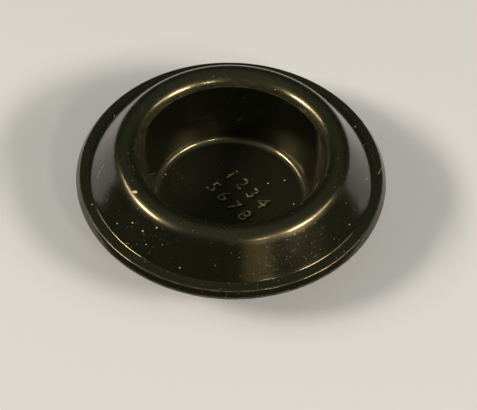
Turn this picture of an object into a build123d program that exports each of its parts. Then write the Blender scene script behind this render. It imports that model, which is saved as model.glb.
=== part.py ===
from build123d import *
import os

# A snap-in hole plug, moulded in one piece: an open cup that goes down through a round
# hole in sheet metal, and a conical skirt that turns over the cup's mouth in a rounded
# crest and covers the edge of the hole. Every surface is round about the Z axis, so the
# plug is one half-section turned through a full circle.
# Frame: origin at the centre of the cup's flat bottom, +Z up out of the mouth.
# All sizes are in millimetres.

# The hole that the plug closes
hole_diameter = 20.0  # round hole in the sheet
sheet_thickness = 1.2  # sheet that the groove grips
hole_clearance = 0.1  # from the neck to the hole's edge, all round
groove_rounding = 0.15  # at the groove's top and bottom corners

# Skirt and its rim
skirt_diameter = 32.0  # across the lip, the widest place
land_width = 1.0  # narrow flat ring between the foot of the cone and the slanted edge
slant_width = 0.4  # how far the slanted edge leans in from the lip
slant_height = 0.6  # from the lip up to the land
lip_height = 0.25  # from the sealing face up to the lip's corner
rim_rounding = 0.12  # on the three corners of the rim's edge
foot_rounding = 0.2  # in the crease where the cone meets the land

# Crest: the rounded ring where the cone turns over into the cup
crest_diameter = 21.8  # across the middle of the rounding
crest_radius = 1.5  # of the rounding, seen in section
crest_height = 3.75  # top of the crest above the land
mouth_inset = 1.5  # from the crest's middle in to the crease where the cup's wall begins
mouth_depth = 1.1  # from the top of the crest down to that crease
mouth_rounding = 0.15  # on the crease

# Cup
wall = 1.05  # thickness of the crest and of the cone
floor_thickness = 1.0
floor_diameter = 16.1  # where the drafted wall would meet the flat floor
floor_rounding = 0.7  # inside corner between wall and floor
reach = 4.35  # from the sealing face down to the cup's bottom

# Snap bead below the groove, and the taper that leads it into the hole
bead_height = 0.45  # how far the bead stands out past the neck
bead_slope = 0.5  # height over which the neck widens to the bead
bead_rounding = 0.3
bottom_diameter = 17.4  # across the bottom, where the taper would meet it
bottom_rounding = 0.6

# Heights and radii that follow from the sizes above
sealing_z = reach
land_z = sealing_z + lip_height + slant_height
crest_top_z = land_z + crest_height
crest_z = crest_top_z - crest_radius
mouth_radius = crest_diameter / 2 - mouth_inset
mouth_z = crest_top_z - mouth_depth
groove_z = sealing_z - sheet_thickness
bead_z = groove_z - bead_slope
lip_radius = skirt_diameter / 2
land_radius = lip_radius - slant_width
foot_radius = land_radius - land_width
neck_radius = hole_diameter / 2 - hole_clearance
bead_radius = neck_radius + bead_height
channel_radius = max(crest_radius - wall, rim_rounding)

with BuildPart() as plug:
    with BuildSketch(Plane.XZ) as half_section:
        with BuildLine():
            # The crest's rounding and the roof of the channel under it share one centre
            crest_centre = Vector(crest_diameter / 2, crest_z)
            crest_circle = CenterArc(crest_centre, crest_radius, 0, 360, mode=Mode.PRIVATE)
            channel_circle = CenterArc(crest_centre, channel_radius, 0, 360, mode=Mode.PRIVATE)

            # Straight runs that meet the crest in a tangent: the mouth's slope and the cone
            mouth_edge = (mouth_radius, mouth_z)
            cone_foot = (foot_radius, land_z)
            mouth_slope = ConstrainedLines(
                crest_circle,
                mouth_edge,
                selector=lambda lines: lines.sort_by(Axis.Y)[-1],
                mode=Mode.PRIVATE,
            )
            cone = ConstrainedLines(
                crest_circle,
                cone_foot,
                selector=lambda lines: lines.sort_by(Axis.Y)[-1],
                mode=Mode.PRIVATE,
            )

            # The channel's two sides: one rises from the neck, one runs parallel to the cone
            neck_top = (neck_radius, sealing_z)
            channel_wall = ConstrainedLines(
                channel_circle,
                neck_top,
                selector=lambda lines: lines.sort_by(Axis.X)[0],
                mode=Mode.PRIVATE,
            )
            sealing_plane = Line((0, sealing_z), (lip_radius, sealing_z), mode=Mode.PRIVATE)
            cone_back_top = crest_centre + (cone @ 0 - crest_centre) * (channel_radius / crest_radius)
            cone_back = IntersectingLine(cone_back_top, cone % 0, sealing_plane, mode=Mode.PRIVATE)

            # Upper side: floor, drafted wall, over the crest, down the cone and round the rim
            FilletPolyline(
                (0, floor_thickness),
                (floor_diameter / 2, floor_thickness),
                mouth_edge,
                mouth_slope @ 0,
                radius=[floor_rounding, mouth_rounding],
            )
            ThreePointArc(mouth_slope @ 0, crest_centre + (0, crest_radius), cone @ 0)
            FilletPolyline(
                cone @ 0,
                cone_foot,
                (land_radius, land_z),
                (lip_radius, sealing_z + lip_height),
                (lip_radius, sealing_z),
                cone_back @ 1,
                radius=[foot_rounding, rim_rounding, rim_rounding, rim_rounding],
            )

            # Lower side: up into the channel, down past the neck and bead to the flat bottom
            Line(cone_back @ 1, cone_back_top)
            ThreePointArc(cone_back_top, crest_centre + (0, channel_radius), channel_wall @ 0)
            FilletPolyline(
                channel_wall @ 0,
                neck_top,
                (neck_radius, groove_z),
                (bead_radius, bead_z),
                (bottom_diameter / 2, 0),
                (0, 0),
                radius=[groove_rounding, groove_rounding, bead_rounding, bottom_rounding],
            )
            Line((0, 0), (0, floor_thickness))
        make_face()
    revolve(axis=Axis.Z)

plug.part.label = "plug"
os.makedirs("parts", exist_ok=True)
export_step(plug.part, "parts/plug.step")
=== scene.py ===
# %% [markdown]
# # A black plastic hole plug
# A hole plug is one moulding: an open cup that is pushed down into a hole in sheet metal,
# and a skirt that turns over the cup's mouth and hides the hole's edge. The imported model
# gives the true size and place of everything. This lesson gives the plug a finer surface,
# a finish, a little dust and wear, and a plain studio to stand in.

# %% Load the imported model
import math
import bmesh
import bpy
from mathutils import Matrix, Vector
from mathutils.bvhtree import BVHTree
from mathutils.noise import fractal


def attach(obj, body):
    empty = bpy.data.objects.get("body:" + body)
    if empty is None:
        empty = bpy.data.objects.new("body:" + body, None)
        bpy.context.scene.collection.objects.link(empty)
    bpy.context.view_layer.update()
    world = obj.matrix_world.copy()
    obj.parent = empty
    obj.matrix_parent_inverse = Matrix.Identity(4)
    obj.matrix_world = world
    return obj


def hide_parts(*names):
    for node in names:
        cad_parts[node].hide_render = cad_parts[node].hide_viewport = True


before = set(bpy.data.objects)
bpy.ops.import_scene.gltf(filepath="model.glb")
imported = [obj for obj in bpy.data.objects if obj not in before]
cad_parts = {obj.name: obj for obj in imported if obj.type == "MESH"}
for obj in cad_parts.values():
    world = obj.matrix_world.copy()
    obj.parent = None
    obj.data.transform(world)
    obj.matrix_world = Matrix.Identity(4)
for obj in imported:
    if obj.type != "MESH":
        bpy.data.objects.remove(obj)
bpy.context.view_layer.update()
MM = 0.001

# %% [markdown]
# ## The section
# Everything on the plug is round about its axis, so its whole form is one outline: half of
# what a saw would show, cut through the middle. The outline is kept as a short list of
# corners, each with the radius that the mould maker gave it. A list of corners is easier to
# read and to change than a cloud of points, and the arcs come later from one node.

# %% Sizes of the plug, in millimetres
SKIRT_RADIUS = 16.0
LAND_WIDTH = 1.0
SLANT_WIDTH = 0.4
SLANT_HEIGHT = 0.6
LIP_HEIGHT = 0.25
RIM_ROUNDING = 0.12
FOOT_ROUNDING = 0.2
CREST_RADIUS_AT_MIDDLE = 10.9
CREST_ROUNDING = 1.5
CREST_HEIGHT = 3.75
MOUTH_RADIUS = 9.4
MOUTH_DEPTH = 1.1
MOUTH_ROUNDING = 0.15
WALL = 1.05
FLOOR_THICKNESS = 1.0
FLOOR_RADIUS = 8.05
FLOOR_ROUNDING = 0.7
SEALING_Z = 4.35
NECK_RADIUS = 9.9
GROOVE_HEIGHT = 1.2
GROOVE_ROUNDING = 0.15
BEAD_HEIGHT = 0.45
BEAD_SLOPE = 0.5
BEAD_ROUNDING = 0.3
BOTTOM_RADIUS = 8.7
BOTTOM_ROUNDING = 0.6

LAND_Z = SEALING_Z + LIP_HEIGHT + SLANT_HEIGHT
LAND_RADIUS = SKIRT_RADIUS - SLANT_WIDTH
FOOT_RADIUS = LAND_RADIUS - LAND_WIDTH
CREST_TOP_Z = LAND_Z + CREST_HEIGHT
CREST_CENTRE = Vector((CREST_RADIUS_AT_MIDDLE, CREST_TOP_Z - CREST_ROUNDING))
MOUTH_Z = CREST_TOP_Z - MOUTH_DEPTH
MOUTH_EDGE = Vector((MOUTH_RADIUS, MOUTH_Z))
CHANNEL_ROUNDING = CREST_ROUNDING - WALL
print("height, mm:", CREST_TOP_Z)

# %% [markdown]
# ## Corners in the air
# The mouth's slope and the cone run straight until they touch the crest, so the corner that
# the crest rounds off is a point in the air above it. The channel under the crest has such
# a corner too. Each of these lines is known by its normal, which points from the rounding's
# centre to where the line touches it, and two such lines share just one point.


# %% Corners on the outside of a rounding
def tangent_normal(point, centre, radius, side):
    """Unit normal of the line through point that touches the circle on the given side."""
    to_point = Vector(point) - centre
    lean = math.acos(radius / to_point.length)
    angle = math.atan2(to_point.y, to_point.x) + side * lean
    return Vector((math.cos(angle), math.sin(angle)))


def meeting_point(normal_a, offset_a, normal_b, offset_b):
    """Point shared by the lines normal . point = offset."""
    spread = normal_a.x * normal_b.y - normal_a.y * normal_b.x
    x = (offset_a * normal_b.y - offset_b * normal_a.y) / spread
    y = (normal_a.x * offset_b - normal_b.x * offset_a) / spread
    return (x, y)


slope_normal = tangent_normal(MOUTH_EDGE, CREST_CENTRE, CREST_ROUNDING, -1)
cone_normal = tangent_normal((FOOT_RADIUS, LAND_Z), CREST_CENTRE, CREST_ROUNDING, 1)
inside_normal = tangent_normal((NECK_RADIUS, SEALING_Z), CREST_CENTRE, CHANNEL_ROUNDING, -1)
cone_offset = cone_normal.dot(CREST_CENTRE)
cone_back_offset = cone_offset + CHANNEL_ROUNDING
crest_corner = meeting_point(
    slope_normal, slope_normal.dot(CREST_CENTRE) + CREST_ROUNDING,
    cone_normal, cone_offset + CREST_ROUNDING,
)
channel_corner = meeting_point(
    inside_normal, inside_normal.dot(CREST_CENTRE) + CHANNEL_ROUNDING,
    cone_normal, cone_back_offset,
)
channel_foot = meeting_point(Vector((0, 1)), SEALING_Z, cone_normal, cone_back_offset)
cone_lean = math.degrees(cone_normal.angle(Vector((1, 0))))
print("cone leans", round(cone_lean, 1), "degrees from upright")

# %% The outline's corners: radius, height, rounding, points on the rounding
GROOVE_Z = SEALING_Z - GROOVE_HEIGHT
FINE = 28
MEDIUM = 14
COARSE = 8
section = [
    ((0, FLOOR_THICKNESS), 0, 0),
    ((FLOOR_RADIUS, FLOOR_THICKNESS), FLOOR_ROUNDING, MEDIUM),
    (MOUTH_EDGE, MOUTH_ROUNDING, COARSE),
    (crest_corner, CREST_ROUNDING, FINE),
    ((FOOT_RADIUS, LAND_Z), FOOT_ROUNDING, COARSE),
    ((LAND_RADIUS, LAND_Z), RIM_ROUNDING, COARSE),
    ((SKIRT_RADIUS, SEALING_Z + LIP_HEIGHT), RIM_ROUNDING, COARSE),
    ((SKIRT_RADIUS, SEALING_Z), RIM_ROUNDING, COARSE),
    (channel_foot, 0, 0),
    (channel_corner, CHANNEL_ROUNDING, MEDIUM),
    ((NECK_RADIUS, SEALING_Z), GROOVE_ROUNDING, COARSE),
    ((NECK_RADIUS, GROOVE_Z), GROOVE_ROUNDING, COARSE),
    ((NECK_RADIUS + BEAD_HEIGHT, GROOVE_Z - BEAD_SLOPE), BEAD_ROUNDING, COARSE),
    ((BOTTOM_RADIUS, 0), BOTTOM_ROUNDING, COARSE),
    ((0, 0), 0, 0),
]
print("corners in the outline:", len(section))

# %% [markdown]
# ## Turning the section
# A turner would hold the plug in a lathe. Here a node tree does the same: it rounds the
# outline's corners, and sweeps the outline round a circle. A tree keeps the rule visible,
# and its few named inputs can be turned up for a finer mesh.


# %% A helper for nodes, and the tree's named inputs
def add_node(tree, kind, inputs=None, **settings):
    """Adds a node, sets its plain settings, then its inputs: a value, or a socket to link."""
    node = tree.nodes.new(kind)
    for name, value in settings.items():
        setattr(node, name, value)
    for name, value in (inputs or {}).items():
        if isinstance(value, bpy.types.NodeSocket):
            tree.links.new(value, node.inputs[name])
        else:
            node.inputs[name].default_value = value
    return node


def add_input(tree, name, kind, value):
    """A named input of the whole tree, with a starting value."""
    socket = tree.interface.new_socket(name, in_out="INPUT", socket_type=kind)
    if value is not None:
        socket.default_value = value
    return socket.identifier


STEPS_ROUND = 288
LONGEST_RUN = 0.5
turning = bpy.data.node_groups.new("turn_section", "GeometryNodeTree")
add_input(turning, "Outline", "NodeSocketGeometry", None)
add_input(turning, "Turning radius", "NodeSocketFloat", SKIRT_RADIUS * MM)
add_input(turning, "Steps round", "NodeSocketInt", STEPS_ROUND)
add_input(turning, "Longest run", "NodeSocketFloat", LONGEST_RUN * MM)
finish_in = add_input(turning, "Finish", "NodeSocketMaterial", None)
turning.interface.new_socket("Mesh", in_out="OUTPUT", socket_type="NodeSocketGeometry")
given = add_node(turning, "NodeGroupInput").outputs
print("inputs:", [socket.name for socket in given if socket.name])

# %% Round the outline's corners
corner_radius = add_node(turning, "GeometryNodeInputNamedAttribute", {"Name": "rounding"})
corner_points = add_node(
    turning, "GeometryNodeInputNamedAttribute", {"Name": "arc_points"}, data_type="INT",
)
outline = add_node(turning, "GeometryNodeMeshToCurve", {"Mesh": given["Outline"]})
rounded = add_node(
    turning, "GeometryNodeFilletCurve",
    {
        "Curve": outline.outputs["Curve"],
        "Radius": corner_radius.outputs[0],
        "Count": corner_points.outputs[0],
        "Limit Radius": True,
    },
    mode="POLY",
)
print("points on the arcs:", sum(count for _, _, count in section))

# %% Give long straight runs points of their own, so that light runs evenly over them
here = add_node(turning, "GeometryNodeInputPosition")
number = add_node(turning, "GeometryNodeInputIndex")
following = add_node(turning, "ShaderNodeMath", {0: number.outputs[0], 1: 1.0}, operation="ADD")
there = add_node(
    turning, "GeometryNodeFieldAtIndex",
    {"Index": following.outputs[0], "Value": here.outputs[0]}, data_type="FLOAT_VECTOR",
)
run = add_node(
    turning, "ShaderNodeVectorMath", {0: here.outputs[0], 1: there.outputs[0]}, operation="DISTANCE",
)
cuts = add_node(
    turning, "ShaderNodeMath", {0: run.outputs["Value"], 1: given["Longest run"]}, operation="DIVIDE",
)
even = add_node(
    turning, "GeometryNodeSubdivideCurve", {"Curve": rounded.outputs[0], "Cuts": cuts.outputs[0]},
)
print("no straight run longer than, mm:", LONGEST_RUN)

# %% Sweep the outline round a circle
MERGE_DISTANCE = 0.0005

# The circle's own points stand at the turning radius, so the outline moves in by as much
inward = add_node(
    turning, "ShaderNodeMath", {0: given["Turning radius"], 1: -1.0}, operation="MULTIPLY",
)
shift = add_node(turning, "ShaderNodeCombineXYZ", {"X": inward.outputs[0]})
placed = add_node(
    turning, "GeometryNodeTransform",
    {"Geometry": even.outputs[0], "Translation": shift.outputs[0], "Scale": (1, -1, 1)},
)
circle = add_node(
    turning, "GeometryNodeCurvePrimitiveCircle",
    {"Resolution": given["Steps round"], "Radius": given["Turning radius"]},
)
upright = add_node(
    turning, "GeometryNodeSetCurveNormal", {"Curve": circle.outputs["Curve"]}, mode="Z_UP",
)
swept = add_node(
    turning, "GeometryNodeCurveToMesh",
    {"Curve": upright.outputs[0], "Profile Curve": placed.outputs[0]},
)
closed = add_node(
    turning, "GeometryNodeMergeByDistance",
    {"Geometry": swept.outputs[0], "Distance": MERGE_DISTANCE * MM},
)
real = add_node(turning, "GeometryNodeRealizeInstances", {"Geometry": closed.outputs[0]})
coated = add_node(
    turning, "GeometryNodeSetMaterial", {"Geometry": real.outputs[0], "Material": given["Finish"]},
)
add_node(turning, "NodeGroupOutput", {"Mesh": coated.outputs[0]})
print("turning tree:", len(turning.nodes), "nodes,", STEPS_ROUND, "steps round")

# %% [markdown]
# ## The finish
# The plug came out of a polished mould in black plastic. It shines, but years of handling
# have left it satin: a broad soft glow round each lamp's reflection, fine scratches that
# mostly run round the plug, and dust that has settled on it. A picture wrapped round the
# plug could show all this, but it would blur close up. The material is mixed from noise in
# the plug's own millimetres instead, so it stays sharp, and stays put when the plug moves.


# %% Helpers for materials, and a new one to fill
def new_material(name):
    """An empty material with its shader and a set of Object coordinates in millimetres."""
    material = bpy.data.materials.new(name)
    material.use_nodes = True
    tree = material.node_tree
    principled = tree.nodes["Principled BSDF"]
    metres = add_node(tree, "ShaderNodeTexCoord").outputs["Object"]
    millimetres = add_node(
        tree, "ShaderNodeVectorMath", {0: metres, 3: 1 / MM}, operation="SCALE",
    ).outputs[0]
    return material, tree, principled, millimetres


def noise(tree, place, scale, detail=3.0, roughness=0.55):
    """Soft random value from 0 to 1; scale is in waves for each millimetre."""
    return add_node(
        tree, "ShaderNodeTexNoise",
        {"Vector": place, "Scale": scale, "Detail": detail, "Roughness": roughness},
    ).outputs["Fac"]


def remap(tree, value, low, high, to_low=0.0, to_high=1.0):
    """Stretches a value from one range to another, and stops at both ends."""
    return add_node(
        tree, "ShaderNodeMapRange",
        {"Value": value, "From Min": low, "From Max": high, "To Min": to_low, "To Max": to_high},
    ).outputs["Result"]


def combine(tree, operation, a, b):
    """One step of arithmetic on two values."""
    return add_node(tree, "ShaderNodeMath", {0: a, 1: b}, operation=operation).outputs[0]


def all_of(tree, first, *others):
    """Where several masks from 0 to 1 hold at once."""
    result = first
    for mask in others:
        result = combine(tree, "MULTIPLY", result, mask)
    return result


def plus(tree, value, mask, amount):
    """Adds an amount to a value, as far as a mask from 0 to 1 lets it."""
    return combine(tree, "ADD", value, combine(tree, "MULTIPLY", mask, amount))


def mix_colour(tree, amount, a, b):
    """Blends two colours."""
    node = add_node(tree, "ShaderNodeMix", data_type="RGBA")
    for socket, value in zip((node.inputs[0], node.inputs[6], node.inputs[7]), (amount, a, b)):
        if isinstance(value, bpy.types.NodeSocket):
            tree.links.new(value, socket)
        else:
            socket.default_value = value
    return node.outputs[2]


plastic, finish, shader, plug_mm = new_material("black_plastic")
print("new material:", plastic.name)

# %% Where a point lies: round the axis, out from it, and up
split = add_node(finish, "ShaderNodeSeparateXYZ", {0: plug_mm}).outputs
up = split["Z"]
flat = add_node(finish, "ShaderNodeCombineXYZ", {"X": split["X"], "Y": split["Y"]}).outputs[0]
out = add_node(finish, "ShaderNodeVectorMath", {0: flat}, operation="LENGTH").outputs["Value"]
turn = combine(finish, "ARCTAN2", split["Y"], split["X"])
print("nodes that tell where a point lies:", len(finish.nodes))

# %% [markdown]
# ### Scratches and handling marks
# A plug that slides and turns on benches gets hairline scratches, and most of them run round
# it. Noise that is drawn out round the axis gives such lines without drawing any of them.
# Hands leave soft dull patches a few millimetres wide. The crest stands proudest, so
# everything that the plug meets has rubbed it dull.

# %% How rough the plastic is, from 0 for a mirror to 1 for chalk
SCRATCH_WAVES = 9.0
SCRATCH_STRETCH = 1.4
SCRATCH_CUT = (0.62, 0.70)
SCRATCH_DULLNESS = 0.08
SMUDGE_WAVES = 0.22
SMUDGE_CUT = (0.35, 0.70)
SATIN = (0.10, 0.15)
GRAIN_WAVES = 6.0
GRAIN_CUT = (0.3, 0.8)
GRAIN_SPREAD = (-0.03, 0.05)
CROWN = (CREST_TOP_Z - 1.0, CREST_TOP_Z - 0.5)
CREST_DULLNESS = 0.17

arc = combine(finish, "MULTIPLY", turn, SCRATCH_STRETCH)
polar = add_node(finish, "ShaderNodeCombineXYZ", {"X": arc, "Y": out, "Z": up}).outputs[0]
hairlines = noise(finish, polar, SCRATCH_WAVES, detail=4.0, roughness=0.7)
scratch = remap(finish, hairlines, *SCRATCH_CUT)
smudge = noise(finish, plug_mm, SMUDGE_WAVES, detail=4.0, roughness=0.6)
grain = noise(finish, plug_mm, GRAIN_WAVES, detail=3.0, roughness=0.7)
dull = remap(finish, smudge, *SMUDGE_CUT, *SATIN)
crown = remap(finish, up, *CROWN, 0.0, CREST_DULLNESS)
rough = combine(finish, "ADD", dull, remap(finish, grain, *GRAIN_CUT, *GRAIN_SPREAD))
rough = combine(finish, "ADD", rough, crown)
rough = plus(finish, rough, scratch, SCRATCH_DULLNESS)
print("roughness on the skirt:", SATIN, "and on the crest up to", round(SATIN[1] + CREST_DULLNESS, 2))

# %% [markdown]
# ### The cup's floor
# A mould's core is often polished on its sides alone, and the plug's floor shows the core's
# rough end: it is matt and finely pitted. The rounded corner between floor and wall keeps
# its gloss, and catches the lamps in a thin bright ring. Masks made from radius and height
# tell the zones apart, so no second material and no seam is needed.

# %% Matt floor and glossy corner
# Each pair says at how many millimetres a zone starts, and at how many it is full
BELOW_CORNER_TOP = (FLOOR_THICKNESS + 0.75, FLOOR_THICKNESS + 0.5)
ABOVE_BOTTOM = (FLOOR_THICKNESS - 0.5, FLOOR_THICKNESS - 0.4)
WITHIN_CUP = (FLOOR_RADIUS + 0.55, FLOOR_RADIUS + 0.45)
BELOW_FLAT_TOP = (FLOOR_THICKNESS + 0.07, FLOOR_THICKNESS + 0.03)
WITHIN_FLAT = (FLOOR_RADIUS - 0.55, FLOOR_RADIUS - 0.95)
CORNER_START = (FLOOR_RADIUS - 1.75, FLOOR_RADIUS - 1.25)
DEEP_DULLNESS = 0.10
CORNER_DULLNESS = 0.23
PITTED_DULLNESS = 0.27
GLOSS = 0.5
CORNER_GLOSS = 0.44

deep = all_of(
    finish,
    remap(finish, up, *BELOW_CORNER_TOP),
    remap(finish, up, *ABOVE_BOTTOM),
    remap(finish, out, *WITHIN_CUP),
)
flat_floor = all_of(
    finish, remap(finish, up, *BELOW_FLAT_TOP), remap(finish, out, *WITHIN_FLAT),
)
pitted = all_of(finish, deep, flat_floor)
corner = all_of(finish, deep, remap(finish, out, *CORNER_START, 0.0, CORNER_DULLNESS))
matt = combine(finish, "MAXIMUM", corner, combine(finish, "MULTIPLY", pitted, PITTED_DULLNESS))
rough = plus(finish, rough, deep, DEEP_DULLNESS)
rough = combine(finish, "ADD", rough, matt)
gloss = plus(finish, GLOSS, deep, CORNER_GLOSS)
gloss = plus(finish, gloss, pitted, -(GLOSS + CORNER_GLOSS))
print("gloss: skirt", GLOSS, "corner", GLOSS + CORNER_GLOSS, "flat floor 0")

# %% A place on the skirt's front where thumbs have broken up the shine
THUMB_PLACE = (3.4, -12.8, 6.7)
THUMB_REACH = (4.4, 1.2)
THUMB_CUT = (0.35, 0.6)
THUMB_BREAKS = (0.55, 1.0)
THUMB_DULLNESS = 0.06
THUMB_GLOSS_LOSS = 0.40
away = add_node(finish, "ShaderNodeVectorMath", {0: plug_mm, 1: THUMB_PLACE}, operation="DISTANCE")
thumbed = all_of(
    finish,
    remap(finish, away.outputs["Value"], *THUMB_REACH),
    remap(finish, grain, *THUMB_CUT, *THUMB_BREAKS),
)
rough = plus(finish, rough, thumbed, THUMB_DULLNESS)
gloss = plus(finish, gloss, thumbed, -THUMB_GLOSS_LOSS)
finish.links.new(gloss, shader.inputs["Coat Weight"])
print("thumbed place, mm:", THUMB_PLACE)

# %% [markdown]
# ### Colour
# Black plastic is never quite black. The skirt and the crest are painted a soft grey: partly a random
# tone that handling leaves, and partly a painted sheen for the glow that they reflect. The cup's inside
# is kept dark as painted shade, less so on its flat floor. Dust too fine to be worth a mesh is painted
# on: a pattern of small cells, of which only a few light up.

# %% Black, grey that is partly painted sheen, painted shade in the cup, and the finest dust
BLACK = (0.0024, 0.0033, 0.0028, 1)
SCUFFED_GREY_AND_SHEEN = (0.0042, 0.0056, 0.0050, 1)
DUST = (0.24, 0.28, 0.36, 1)
DUST_CELLS = 2.6
LUCKY_CELLS = (0.86, 0.94)
SPECK_EDGE = (0.20, 0.06)
SETTLED_WAVES = 0.5
SETTLED_CUT = (0.42, 0.60)
DUST_STRENGTH = 0.6
DUST_INSIDE = 0.25
WITHIN_MOUTH = (MOUTH_RADIUS + 0.03, MOUTH_RADIUS - 0.02)
ABOVE_FLOOR = (FLOOR_THICKNESS - 0.1, FLOOR_THICKNESS - 0.05)
INSIDE_POLISH = 0.02
FLOOR_SHADE_LIFT = 0.6
GREY_WAVES = 0.35
GREY_CUT = (0.25, 0.7)
GREYNESS = (0.7, 1.0)

cells = add_node(finish, "ShaderNodeTexVoronoi", {"Vector": plug_mm, "Scale": DUST_CELLS}, feature="F1")
lucky = add_node(finish, "ShaderNodeSeparateColor", {"Color": cells.outputs["Color"]}).outputs["Red"]
inside = all_of(finish, remap(finish, out, *WITHIN_MOUTH), remap(finish, up, *ABOVE_FLOOR))
speck = all_of(
    finish,
    remap(finish, lucky, *LUCKY_CELLS),
    remap(finish, cells.outputs["Distance"], *SPECK_EDGE),
    remap(finish, noise(finish, plug_mm, SETTLED_WAVES, detail=2.0), *SETTLED_CUT),
    remap(finish, inside, 0.0, 1.0, 1.0, DUST_INSIDE),
)
rough = plus(finish, rough, inside, -INSIDE_POLISH)
finish.links.new(rough, shader.inputs["Roughness"])

# Painted shade: the cup's inside is kept darker than the skirt and crest, less so on the flat floor
painted_shade_in_cup = plus(finish, inside, pitted, -FLOOR_SHADE_LIFT)
# The grey outside the cup is partly random handling tone and partly painted sheen
grey_tone_and_sheen = all_of(
    finish,
    remap(finish, noise(finish, plug_mm, GREY_WAVES), *GREY_CUT, *GREYNESS),
    combine(finish, "SUBTRACT", 1.0, painted_shade_in_cup),
)
colour = mix_colour(finish, grey_tone_and_sheen, BLACK, SCUFFED_GREY_AND_SHEEN)
colour = mix_colour(finish, combine(finish, "MULTIPLY", speck, DUST_STRENGTH), colour, DUST)
print("dust cells for each millimetre:", DUST_CELLS)

# %% [markdown]
# ### Rubbed edges, with painted highlights
# Edges that hands and sheet metal rub turn paler, in broken lines. These pale lines on the mouth's
# edge, the land's edge and the lip are partly that wear and partly painted highlights of the edges, and
# a wider pale band on the mouth's slope is a painted reflection. The distance from an edge is easy to
# measure on a round part, because each edge is one point of the section. The tops of the raised digits
# in the cup are painted paler too, partly as rubbing and partly as a painted glint.

# %% Pale lines on the edges, partly wear and partly painted highlight, and pale tops on the digits, partly rubbing and partly painted glint
DIGIT_RELIEF = 0.17
DIGIT_TOP = FLOOR_THICKNESS + DIGIT_RELIEF
DIGITS_WITHIN = (6.5, 6.2)
DIGITS_BELOW = (2.0, 1.9)
DIGIT_TOP_DEPTH = 0.06
DIGIT_STRENGTH = 0.8
PATCH_WAVES = 2.2
PATCH_CUT = (0.42, 0.60)
PATCHES = (0.05, 1.0)
BREAK_WAVES = 1.1
BREAK_CUT = (0.35, 0.65)
BREAKS = (0.15, 1.0)
FULL_SHARE = 0.3
STOP_BELOW = 0.04
STOP_ABOVE = 0.02
RUBBED_DIGIT_AND_GLINT = (0.20, 0.175, 0.115, 1)
PALE_WEAR_AND_HIGHLIGHT = (0.075, 0.08, 0.07, 1)
# Radius, height, width of the pale line, how pale it is (wear and painted highlight), and the height
# where it stops
PALE_EDGES_WEAR_AND_HIGHLIGHT = [
    (MOUTH_RADIUS, MOUTH_Z, 0.10, 0.30, 0.0),
    # This wide band is a painted reflection on the mouth's slope, which stops at the mouth's edge
    (MOUTH_RADIUS + 0.2, MOUTH_Z + 0.3, 0.70, 0.24, MOUTH_Z),
    (LAND_RADIUS, LAND_Z, 0.12, 0.5, 0.0),
    (SKIRT_RADIUS, SEALING_Z + LIP_HEIGHT, 0.16, 0.5, 0.0),
]

# Painted glint: the digits' tops are painted paler, partly as rubbing
raised = all_of(
    finish,
    remap(finish, out, *DIGITS_WITHIN),
    remap(finish, up, DIGIT_TOP - DIGIT_TOP_DEPTH, DIGIT_TOP),
    remap(finish, up, *DIGITS_BELOW, 0.0, DIGIT_STRENGTH),
)
patchy = noise(finish, plug_mm, PATCH_WAVES, roughness=0.7)
patchy = remap(finish, patchy, *PATCH_CUT, *PATCHES)
colour = mix_colour(finish, all_of(finish, raised, patchy), colour, RUBBED_DIGIT_AND_GLINT)

cut = add_node(finish, "ShaderNodeCombineXYZ", {"X": out, "Y": up}).outputs[0]
broken = noise(finish, plug_mm, BREAK_WAVES, detail=4.0, roughness=0.7)
broken = remap(finish, broken, *BREAK_CUT, *BREAKS)
for radius, height, width, strength, stop in PALE_EDGES_WEAR_AND_HIGHLIGHT:
    edge = (radius, height, 0)
    away = add_node(finish, "ShaderNodeVectorMath", {0: cut, 1: edge}, operation="DISTANCE")
    rubbed = all_of(
        finish,
        remap(finish, away.outputs["Value"], width, FULL_SHARE * width, 0.0, strength),
        remap(finish, up, stop - STOP_BELOW, stop + STOP_ABOVE),
        broken,
    )
    # Mix in the pale line: partly wear, partly painted highlight or, on the mouth's slope, painted
    # reflection
    colour = mix_colour(finish, rubbed, colour, PALE_WEAR_AND_HIGHLIGHT)
finish.links.new(colour, shader.inputs["Base Color"])
print("rubbed edges:", len(PALE_EDGES_WEAR_AND_HIGHLIGHT))

# %% [markdown]
# ### Relief
# A moulding is never truly flat. It is slowly uneven over a few millimetres, which bends the
# reflections, and it has a fine grain. These depths are hundredths of a millimetre and less,
# so they are left to the shader's bump. Everything deeper is in the mesh.

# %% Relief in millimetres, and how the plastic bends light
UNEVEN_WAVES = 0.35
UNEVEN_DEPTH = 0.030
GRAIN_DEPTH = 0.0024
PIT_WAVES = 3.5
PIT_DEPTH = 0.030
SCRATCH_DEPTH = 0.0015
SPECK_HEIGHT = 0.01
PLASTIC_IOR = 1.42
COAT_ROUGHNESS = 0.13
COAT_IOR = 1.5

wave = noise(finish, plug_mm, UNEVEN_WAVES, detail=2.0)
relief = combine(finish, "MULTIPLY", wave, UNEVEN_DEPTH)
relief = plus(finish, relief, grain, GRAIN_DEPTH)
pits = noise(finish, plug_mm, PIT_WAVES, detail=4.0, roughness=0.7)
pits = combine(finish, "MULTIPLY", pits, PIT_DEPTH)
relief = plus(finish, relief, pits, pitted)
relief = plus(finish, relief, scratch, -SCRATCH_DEPTH)
relief = plus(finish, relief, speck, SPECK_HEIGHT)
bump = add_node(finish, "ShaderNodeBump", {"Height": relief, "Strength": 1.0, "Distance": MM})
finish.links.new(bump.outputs[0], shader.inputs["Normal"])
shader.inputs["IOR"].default_value = PLASTIC_IOR
shader.inputs["Coat Roughness"].default_value = COAT_ROUGHNESS
shader.inputs["Coat IOR"].default_value = COAT_IOR
print("finish:", plastic.name, "with", len(finish.nodes), "nodes")

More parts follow.
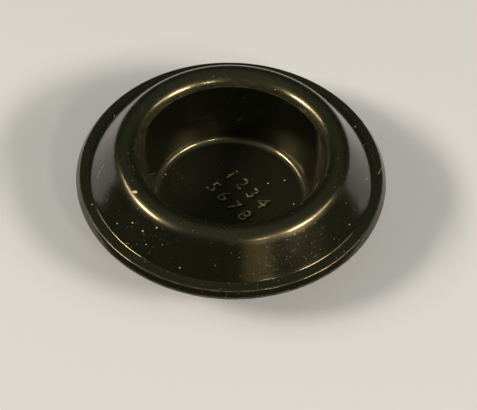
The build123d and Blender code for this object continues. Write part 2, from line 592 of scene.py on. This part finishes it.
# %% [markdown]
# ## The plug itself
# The outline becomes a chain of edges that carries its roundings along, and the tree turns
# it into a mesh. The result is kept as a plain mesh, which any other program can read. It
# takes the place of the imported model's plug, in the same frame.


# %% Run the tree on the outline
def outline_mesh(name, corners):
    """A chain of edges with a rounding at each corner, lying flat with height along Y."""
    mesh = bpy.data.meshes.new(name)
    points = [(corner[0] * MM, corner[1] * MM, 0) for corner, _, _ in corners]
    mesh.from_pydata(points, [(i, i + 1) for i in range(len(points) - 1)], [])
    rounding = mesh.attributes.new("rounding", "FLOAT", "POINT")
    rounding.data.foreach_set("value", [radius * MM for _, radius, _ in corners])
    arc_points = mesh.attributes.new("arc_points", "INT", "POINT")
    arc_points.data.foreach_set("value", [count for _, _, count in corners])
    return mesh


def grow(name, mesh, tree, settings):
    """Runs a node tree on a mesh and returns a plain object with closed, outward faces."""
    seed = bpy.data.objects.new(name + "_seed", mesh)
    bpy.context.collection.objects.link(seed)
    modifier = seed.modifiers.new("grow", "NODES")
    modifier.node_group = tree
    for identifier, value in settings.items():
        modifier[identifier] = value
    evaluated = seed.evaluated_get(bpy.context.evaluated_depsgraph_get())
    grown = bpy.data.meshes.new_from_object(evaluated)
    bpy.data.objects.remove(seed)
    shape = bmesh.new()
    shape.from_mesh(grown)
    bmesh.ops.recalc_face_normals(shape, faces=shape.faces)
    for face in shape.faces:
        face.smooth = True
    shape.to_mesh(grown)
    shape.free()
    grown.name = name
    piece = bpy.data.objects.new(name, grown)
    bpy.context.collection.objects.link(piece)
    return piece


plug = grow("plug_body", outline_mesh("section", section), turning, {finish_in: plastic})
sides = [len(face.vertices) - 2 for face in plug.data.polygons]
print("plug mesh:", sum(sides), "triangles, box mm:", [round(v / MM, 2) for v in plug.dimensions])
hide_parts("plug")
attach(plug, "root")

# %% [markdown]
# ## Marks in the cup
# The mould maker cut numbers into the core that shapes the cup's floor, so they stand up
# from it in the plastic. Here they are plain digits in two rows. Each is a solid with
# softened edges that reaches a little way into the floor, and it is as worn as the rest,
# with tops painted paler, partly as rubbing and partly as a painted glint.

# %% Raised digits
DIGIT_HEIGHT = 1.6
SIZE_FOR_HEIGHT = 1.35
DIGIT_BEVEL = 0.05
DIGIT_THINNING = 0.03
DIGIT_TURN = -48
DOUBLES_WITHIN = 0.0008
# What each row says, and its centre on the cup's floor in millimetres
ROWS = [("1 2 3 4", (1.7, 1.05)), ("5 6 7 8", (-0.2, -0.75))]


def digit_row(name, text, place):
    """One row of raised digits as a plain mesh, centred on a place on the cup's floor."""
    letters = bpy.data.curves.new(name, "FONT")
    letters.body = text
    letters.align_x = "CENTER"
    letters.align_y = "CENTER"
    letters.size = DIGIT_HEIGHT * SIZE_FOR_HEIGHT * MM
    letters.extrude = (DIGIT_RELIEF - DIGIT_BEVEL) * MM
    letters.bevel_depth = DIGIT_BEVEL * MM
    letters.bevel_resolution = 2
    letters.offset = -DIGIT_THINNING * MM
    letters.resolution_u = 4
    seed = bpy.data.objects.new(name + "_seed", letters)
    bpy.context.collection.objects.link(seed)
    evaluated = seed.evaluated_get(bpy.context.evaluated_depsgraph_get())
    mesh = bpy.data.meshes.new_from_object(evaluated)
    bpy.data.objects.remove(seed)
    set_down = Matrix.Translation((place[0] * MM, place[1] * MM, FLOOR_THICKNESS * MM))
    mesh.transform(set_down @ Matrix.Rotation(math.radians(DIGIT_TURN), 4, "Z"))
    return mesh


def joined(name, meshes, material, smooth=True):
    """Several meshes as one piece with one material, with doubled points merged."""
    shape = bmesh.new()
    for mesh in meshes:
        shape.from_mesh(mesh)
    bmesh.ops.remove_doubles(shape, verts=shape.verts, dist=DOUBLES_WITHIN * MM)
    bmesh.ops.recalc_face_normals(shape, faces=shape.faces)
    for face in shape.faces:
        face.material_index = 0
        face.smooth = smooth
    result = bpy.data.meshes.new(name)
    shape.to_mesh(result)
    shape.free()
    result.materials.append(material)
    piece = bpy.data.objects.new(name, result)
    bpy.context.collection.objects.link(piece)
    return piece


rows = [digit_row("digits_%d" % index, text, place) for index, (text, place) in enumerate(ROWS)]
digits = joined("floor_digits", rows, plastic, smooth=False)
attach(digits, "root")
print("digits:", len(digits.data.polygons), "faces")

# %% [markdown]
# ## Dust and crumbs
# A small black thing from a drawer is never clean. Dust gathers on what faces upwards, in
# patches, and a few larger crumbs and threads of lint stay where they were caught. The
# fine dust is scattered by a second node tree with a fixed seed, so it is the same on
# every run. The crumbs that the eye notices are put in their places one by one.

# %% A pale grit
GRIT_DARK = (0.20, 0.19, 0.16, 1)
GRIT_PALE = (0.55, 0.56, 0.52, 1)
GRIT_WAVES = 3.0
GRIT_CUT = (0.3, 0.7)
GRIT_ROUGHNESS = (0.65, 0.9)
GRIT_DENT_WAVES = 20.0
GRIT_DENT_DEPTH = 0.02


def dust_grit():
    """Pale, rough and slightly varied: lint, skin and workshop dust."""
    material, tree, principled, place = new_material("dust_grit")
    speckle = noise(tree, place, GRIT_WAVES, detail=2.0)
    tint = mix_colour(tree, remap(tree, speckle, *GRIT_CUT), GRIT_DARK, GRIT_PALE)
    tree.links.new(tint, principled.inputs["Base Color"])
    chalky = remap(tree, speckle, *GRIT_CUT, *GRIT_ROUGHNESS)
    tree.links.new(chalky, principled.inputs["Roughness"])
    dents = noise(tree, place, GRIT_DENT_WAVES)
    uneven_side = add_node(
        tree, "ShaderNodeBump", {"Height": dents, "Distance": GRIT_DENT_DEPTH * MM},
    )
    tree.links.new(uneven_side.outputs[0], principled.inputs["Normal"])
    return material


grit = dust_grit()
print("finish:", grit.name, "with", len(grit.node_tree.nodes), "nodes")

# %% Choose where dust settles: on faces that look upwards, in drifts
SPECKS_PER_SQUARE_METRE = 1.2e6
SPECK_SIZE = 0.028
DUST_SEED = 7
LEVEL_ENOUGH = 0.25
DRIFTS_PER_METRE = 160.0
DRIFT_THINNEST = 0.42
DRIFT_THICKEST = 0.70

dusting = bpy.data.node_groups.new("scatter_dust", "GeometryNodeTree")
add_input(dusting, "Surface", "NodeSocketGeometry", None)
add_input(dusting, "Specks per square metre", "NodeSocketFloat", SPECKS_PER_SQUARE_METRE)
add_input(dusting, "Speck size", "NodeSocketFloat", SPECK_SIZE * MM)
add_input(dusting, "Seed", "NodeSocketInt", DUST_SEED)
grit_in = add_input(dusting, "Grit", "NodeSocketMaterial", None)
dusting.interface.new_socket("Dust", in_out="OUTPUT", socket_type="NodeSocketGeometry")
given = add_node(dusting, "NodeGroupInput").outputs

facing = add_node(dusting, "GeometryNodeInputNormal")
level = add_node(dusting, "ShaderNodeSeparateXYZ", {0: facing.outputs[0]})
upward = add_node(
    dusting, "ShaderNodeMath", {0: level.outputs["Z"], 1: LEVEL_ENOUGH}, operation="GREATER_THAN",
)
drift = add_node(dusting, "ShaderNodeTexNoise", {"Scale": DRIFTS_PER_METRE, "Detail": 2.0})
patch = add_node(
    dusting, "ShaderNodeMapRange",
    {"Value": drift.outputs["Fac"], "From Min": DRIFT_THINNEST, "From Max": DRIFT_THICKEST},
)
thick = add_node(
    dusting, "ShaderNodeMath",
    {0: patch.outputs["Result"], 1: given["Specks per square metre"]}, operation="MULTIPLY",
)
spots = add_node(
    dusting, "GeometryNodeDistributePointsOnFaces",
    {
        "Mesh": given["Surface"],
        "Selection": upward.outputs[0],
        "Density": thick.outputs[0],
        "Seed": given["Seed"],
    },
)
print("inputs:", [socket.name for socket in given if socket.name])

# %% Put a small uneven grain on each spot
FLATTEST = (0.35, 0.35, 0.35)
STOUTEST = (1.6, 1.1, 0.9)
FULL_TURN = 6.28

grain_shape = add_node(
    dusting, "GeometryNodeMeshIcoSphere", {"Radius": given["Speck size"], "Subdivisions": 1},
)
uneven = add_node(
    dusting, "FunctionNodeRandomValue",
    {"Min": FLATTEST, "Max": STOUTEST, "Seed": given["Seed"]}, data_type="FLOAT_VECTOR",
)
turned = add_node(
    dusting, "FunctionNodeRandomValue",
    {"Min": (0, 0, 0), "Max": (FULL_TURN, FULL_TURN, FULL_TURN), "Seed": given["Seed"]},
    data_type="FLOAT_VECTOR",
)
grains = add_node(
    dusting, "GeometryNodeInstanceOnPoints",
    {
        "Points": spots.outputs["Points"],
        "Instance": grain_shape.outputs["Mesh"],
        "Rotation": turned.outputs[0],
        "Scale": uneven.outputs[0],
    },
)
loose = add_node(dusting, "GeometryNodeRealizeInstances", {"Geometry": grains.outputs[0]})
gritty = add_node(
    dusting, "GeometryNodeSetMaterial", {"Geometry": loose.outputs[0], "Material": given["Grit"]},
)
add_node(dusting, "NodeGroupOutput", {"Dust": gritty.outputs[0]})

FACES_PER_GRAIN = 20
dust = grow("fine_dust", plug.data.copy(), dusting, {grit_in: grit})
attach(dust, "root")
print("fine dust:", len(dust.data.polygons) // FACES_PER_GRAIN, "specks")

# %% Crumbs in their places
# Azimuth in degrees, radius on the plug and size in millimetres
CRUMBS = [
    (-55, 11.45, 0.28), (-46.5, 13.1, 0.12), (-40, 13.1, 0.10), (-34.5, 12.4, 0.11),
    (-19, 14.15, 0.09), (-69, 14.9, 0.09), (59, 14.0, 0.11), (117, 14.4, 0.09),
    (85, 13.9, 0.09), (154, 9.7, 0.08), (-111, 7.5, 0.11), (-176, 3.0, 0.11),
    (117, 4.4, 0.11), (114, 6.2, 0.10), (84, 6.7, 0.10), (73, 6.4, 0.08),
    (-30, 5.2, 0.08), (-36, 13.7, 0.07), (-53, 13.9, 0.08), (-29, 13.2, 0.06),
    (-44, 14.4, 0.06), (-48, 12.2, 0.05), (38, 13.3, 0.05), (64, 12.9, 0.05),
]
ABOVE_PLUG = 20
CRUMB_SHAPE = (1.0, 0.55, 0.5)
CRUMB_LIFT = 0.3
DENT_DEPTH = 0.35
DENT_WAVES = 1.3
DENT_FADE = 0.8
DENT_STEP = 2.0
DENT_LAYERS = 3
TURN_STEP = 2.4
DRAW_STEP = 9.0
surface = BVHTree.FromObject(plug, bpy.context.evaluated_depsgraph_get())


def on_plug(azimuth, radius, lift=0.0):
    """The point of the plug's upper side at an azimuth and a radius in millimetres."""
    angle = math.radians(azimuth)
    above = Vector((radius * math.sin(angle), -radius * math.cos(angle), ABOVE_PLUG)) * MM
    hit = surface.ray_cast(above, Vector((0, 0, -1)))
    return hit[0] + hit[1] * lift * MM


def crumb(place, size, index):
    """A small uneven lump, closed, half sunk in what it lies on."""
    shape = bmesh.new()
    bmesh.ops.create_icosphere(shape, subdivisions=2, radius=size * MM)
    stretch = Matrix.Diagonal(CRUMB_SHAPE)
    spin = Matrix.Rotation(index * TURN_STEP, 3, "Z")
    draw = Vector((index * DRAW_STEP, 0, 0))
    for point in shape.verts:
        unit = point.co / (size * MM)
        dent = fractal(unit * DENT_WAVES + draw, DENT_FADE, DENT_STEP, DENT_LAYERS)
        point.co = place + spin @ stretch @ (point.co * (1 + DENT_DEPTH * dent))
    mesh = bpy.data.meshes.new("crumb")
    shape.to_mesh(mesh)
    shape.free()
    return mesh


crumb_meshes = []
for index, (azimuth, radius, size) in enumerate(CRUMBS):
    crumb_meshes.append(crumb(on_plug(azimuth, radius, CRUMB_LIFT * size), size, index))
print("crumbs:", len(crumb_meshes))

# %% Threads of lint, drawn over the surface
THREAD_RADIUS = 0.018
STEPS_PER_LEG = 6
# Each thread's places: azimuth in degrees, radius on the plug in millimetres
LINT = [
    ((91, 15.15), (93, 15.45), (96, 15.75)),
    ((-79, 13.8), (-81, 13.5), (-83, 13.0)),
    ((-118, 14.2), (-115, 13.8)),
]


def thread(ends):
    """A thin round thread that follows the plug's surface through a few places."""
    line = bpy.data.curves.new("thread", "CURVE")
    line.dimensions = "3D"
    line.bevel_depth = THREAD_RADIUS * MM
    line.bevel_resolution = 1
    line.use_fill_caps = True
    spline = line.splines.new("NURBS")
    route = []
    for start, end in zip(ends, ends[1:]):
        for step in range(STEPS_PER_LEG):
            share = step / STEPS_PER_LEG
            azimuth = start[0] + (end[0] - start[0]) * share
            radius = start[1] + (end[1] - start[1]) * share
            route.append(on_plug(azimuth, radius, THREAD_RADIUS))
    route.append(on_plug(*ends[-1], THREAD_RADIUS))
    spline.points.add(len(route) - 1)
    for point, place in zip(spline.points, route):
        point.co = (*place, 1)
    spline.use_endpoint_u = True
    seed = bpy.data.objects.new("thread_seed", line)
    bpy.context.collection.objects.link(seed)
    evaluated = seed.evaluated_get(bpy.context.evaluated_depsgraph_get())
    mesh = bpy.data.meshes.new_from_object(evaluated)
    bpy.data.objects.remove(seed)
    return mesh


crumbs = joined("crumbs_and_lint", crumb_meshes + [thread(ends) for ends in LINT], grit)
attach(crumbs, "root")
print("crumbs and lint:", len(crumbs.data.polygons), "faces")

# %% [markdown]
# ## The studio
# The plug stands on a plain pale table under soft lamps. Its gloss needs something to
# reflect: two wide lamps stand low, left and right, with a dimmer one beyond each and a
# small one between them. Their reflections draw the streaks on the crest and the ring in
# the floor's corner. One more lamp is very faint, and it draws the soft golden patch on the
# skirt's front. The room itself glows from above alone, so the sides stay dark.

# %% Floor
FLOOR_SIZE = 1.2
FLOOR_COLOUR = (0.38, 0.47, 0.84, 1)
FLOOR_ROUGHNESS = 0.9
half = FLOOR_SIZE / 2
floor_corners = [(-half, -half, 0), (half, -half, 0), (half, half, 0), (-half, half, 0)]
ground = bpy.data.meshes.new("floor")
ground.from_pydata(floor_corners, [], [(0, 1, 2, 3)])
floor = bpy.data.objects.new("floor", ground)
bpy.context.collection.objects.link(floor)
paint = bpy.data.materials.new("floor_paint")
paint.use_nodes = True
matt_paint = paint.node_tree.nodes["Principled BSDF"].inputs
matt_paint["Base Color"].default_value = FLOOR_COLOUR
matt_paint["Roughness"].default_value = FLOOR_ROUGHNESS
ground.materials.append(paint)
print("floor, m:", FLOOR_SIZE, "square")

# %% Lamps
LAMP_DISTANCE = 0.6
WARM = (1.0, 0.76, 0.38)
GOLD = (1.0, 0.70, 0.22)
# Name, azimuth and elevation in degrees, width and height in metres, radiance, colour
LAMPS = [
    ("lamp_right", 63, 30.0, 0.24, 0.085, 90, WARM),
    ("lamp_right_far", 86, 29, 0.22, 0.065, 20, WARM),
    ("lamp_left", -78, 34.5, 0.24, 0.085, 90, WARM),
    ("lamp_left_far", -101, 33, 0.22, 0.065, 24, WARM),
    ("lamp_middle", 29, 34, 0.10, 0.04, 85, WARM),
    ("window", 22, 24.5, 0.22, 0.07, 0.9, GOLD),
]


def lamp(name, azimuth, elevation, width, height, radiance, colour):
    """A soft box that looks at the plug. Azimuth 0 is the camera's side, and 90 is +X."""
    light = bpy.data.lights.new(name, "AREA")
    light.shape = "ELLIPSE"
    light.size = width
    light.size_y = height
    light.energy = radiance * math.pi * width * height * math.pi / 4
    light.color = colour
    body = bpy.data.objects.new(name, light)
    angle = math.radians(azimuth)
    rise = math.radians(elevation)
    level_reach = math.cos(rise)
    away = Vector((level_reach * math.sin(angle), -level_reach * math.cos(angle), math.sin(rise)))
    body.location = away * LAMP_DISTANCE
    body.rotation_euler = away.to_track_quat("Z", "Y").to_euler()
    bpy.context.collection.objects.link(body)
    return body


lamps = [lamp(*row) for row in LAMPS]
print("lamps:", [body.name for body in lamps])

# %% The room's glow, stronger towards the ceiling, and a pale backdrop for the camera alone
GLOW_RISES = (0.50, 0.95)
GLOW = (0.020, 0.25)
GLOW_TINT = (0.97, 1.0, 0.60, 1)
BACKDROP = 0.8
BACKDROP_TINT = (0.97, 0.97, 0.93, 1)
world = bpy.data.worlds.new("studio")
bpy.context.scene.world = world
world.use_nodes = True
sky = world.node_tree
direction = add_node(sky, "ShaderNodeTexCoord").outputs["Generated"]
steepness = add_node(sky, "ShaderNodeSeparateXYZ", {0: direction}).outputs["Z"]
glow = remap(sky, steepness, *GLOW_RISES, *GLOW)
to_camera = add_node(sky, "ShaderNodeLightPath").outputs["Is Camera Ray"]
seen = combine(sky, "MULTIPLY", to_camera, BACKDROP)
sky.links.new(combine(sky, "MAXIMUM", glow, seen), sky.nodes["Background"].inputs["Strength"])
tinted = mix_colour(sky, to_camera, GLOW_TINT, BACKDROP_TINT)
sky.links.new(tinted, sky.nodes["Background"].inputs["Color"])
print("glow from", GLOW[0], "at the sides to", GLOW[1], "overhead")

# %% [markdown]
# ## The camera
# The plug is seen from in front and above, at about fifty degrees, through a long lens that
# keeps its circles round. A slight roll matches a camera held by hand.

# %% Camera
PITCH_DOWN = 50.12
ROLL = 2.26
LENS = 125.8
SENSOR_WIDTH = 36
NEAREST = 0.005
CAMERA_PLACE = Vector((0.872, -112.907, 134.801)) * MM
view = bpy.data.cameras.new("camera")
view.lens = LENS
view.sensor_width = SENSOR_WIDTH
view.clip_start = NEAREST
camera = bpy.data.objects.new("camera", view)
bpy.context.collection.objects.link(camera)
pitch = Matrix.Rotation(math.radians(90 - PITCH_DOWN), 4, "X")
roll = Matrix.Rotation(math.radians(ROLL), 4, "Z")
camera.matrix_world = Matrix.Translation(CAMERA_PLACE) @ (pitch @ roll)
bpy.context.scene.camera = camera
bpy.context.scene.view_settings.view_transform = "Standard"
print("camera, mm from the plug:", round(CAMERA_PLACE.length / MM))
